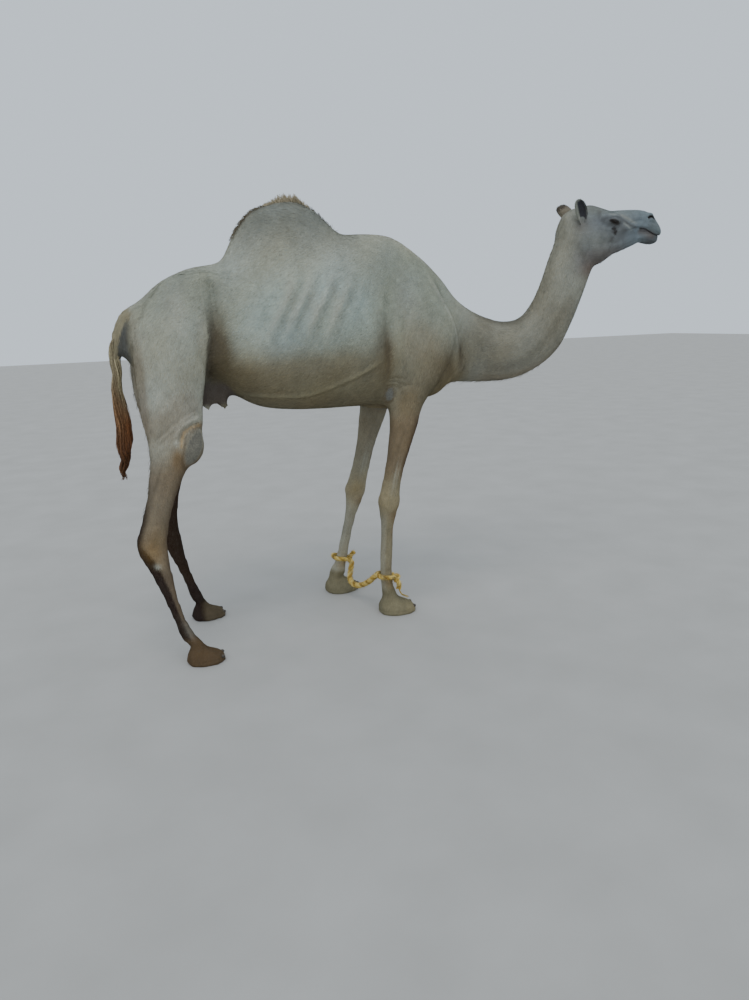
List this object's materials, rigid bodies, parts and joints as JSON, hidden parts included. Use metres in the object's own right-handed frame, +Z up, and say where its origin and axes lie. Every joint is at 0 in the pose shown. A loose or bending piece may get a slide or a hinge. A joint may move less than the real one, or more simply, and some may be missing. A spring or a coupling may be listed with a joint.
{
  "type": "standing dromedary camel",
  "caption": "Standing one-humped camel cow with a pale short coat, dark hind shanks, a thin tufted tail and a loose yellow rope hobble between the front pasterns.",
  "frame": {"origin": "on the floor, under the middle of the whole animal's box, tail to muzzle and side to side", "axes": "+X the way the animal faces (tail to muzzle), +Y its left side, +Z up from the floor"},
  "size_m": [2.9051, 0.7421, 2.0551],
  "materials": {
    "cream_coat": "short matte hair",
    "brown_coat": "short matte hair",
    "switch_hair": "long coarse hair",
    "bare_skin": "fine wrinkled, matte",
    "eye": "wet gloss",
    "nail_horn": "dull, worn",
    "yellow_rope": "twisted fibre, dusty"
  },
  "bodies": {
    "root": {"ear_left": "cream_coat", "ear_right": "cream_coat", "eye_left": "eye", "eye_right": "eye", "foot_fore_left": "cream_coat", "foot_fore_right": "cream_coat", "foot_hind_left": "brown_coat", "foot_hind_right": "brown_coat", "head": "cream_coat", "hobble_end_left": "yellow_rope", "hobble_knot_right": "yellow_rope", "hobble_link": "yellow_rope", "hobble_ring_left": "yellow_rope", "hobble_ring_right": "yellow_rope", "leg_fore_left_lower": "cream_coat", "leg_fore_left_upper": "cream_coat", "leg_fore_right_lower": "cream_coat", "leg_fore_right_upper": "cream_coat", "leg_hind_left_lower": "brown_coat", "leg_hind_left_upper": "cream_coat", "leg_hind_right_lower": "brown_coat", "leg_hind_right_upper": "cream_coat", "nail_fore_left_inner": "nail_horn", "nail_fore_left_outer": "nail_horn", "nail_fore_right_inner": "nail_horn", "nail_fore_right_outer": "nail_horn", "nail_hind_left_inner": "nail_horn", "nail_hind_left_outer": "nail_horn", "nail_hind_right_inner": "nail_horn", "nail_hind_right_outer": "nail_horn", "neck_lower": "cream_coat", "neck_upper": "cream_coat", "tail": "cream_coat", "tail_switch": "switch_hair", "trunk": "cream_coat", "udder": "bare_skin"}
  },
  "joints": []
}
